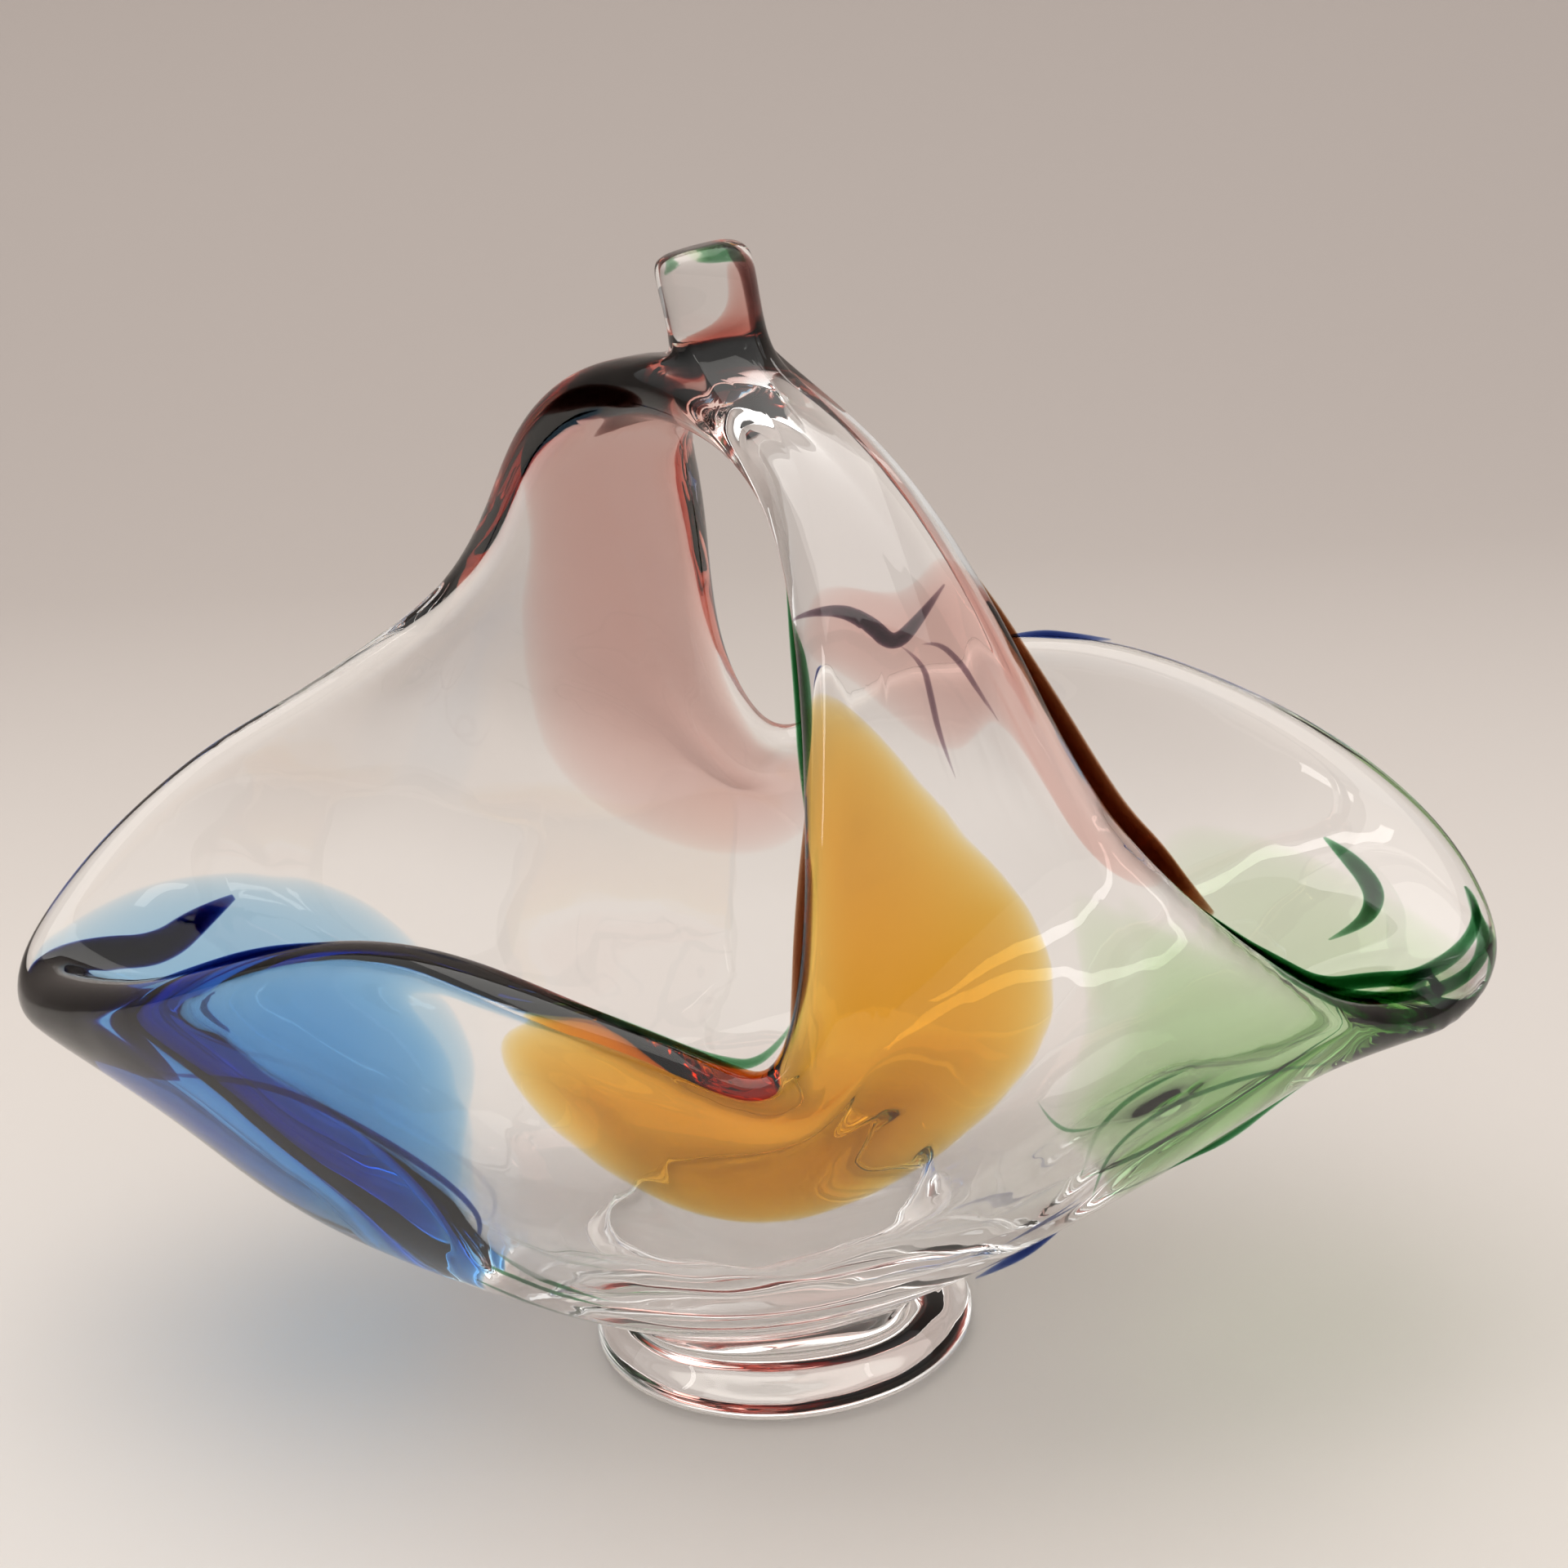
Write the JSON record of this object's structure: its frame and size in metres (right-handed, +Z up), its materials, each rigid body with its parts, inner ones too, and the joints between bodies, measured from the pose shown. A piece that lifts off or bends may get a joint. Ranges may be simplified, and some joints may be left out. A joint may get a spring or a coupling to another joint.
{
  "type": "glass candy dish",
  "caption": "Basket-shaped glass candy dish in one fused piece: an open bowl with a drawn-out lip at each end, a round foot and a bail handle with a pulled stub.",
  "frame": {"origin": "centre of the foot's flat underside", "axes": "+X towards the right lip, +Z up, -Y towards the front wall that carries the amber patch"},
  "size_m": [0.2512, 0.1514, 0.1868],
  "materials": {
    "glass": "clear polished glass",
    "amber_glass": "amber glass fused inside the clear wall",
    "blue_glass": "blue glass fused inside the clear wall",
    "rose_glass": "rose glass fused inside the clear wall and drawn up into the stub",
    "green_glass": "pale green glass fused inside the clear wall and in the tip of the stub"
  },
  "bodies": {
    "root": {"dish": "glass", "amber_patch": "amber_glass", "blue_patch": "blue_glass", "rose_patch": "rose_glass", "green_patch": "green_glass"}
  },
  "joints": []
}
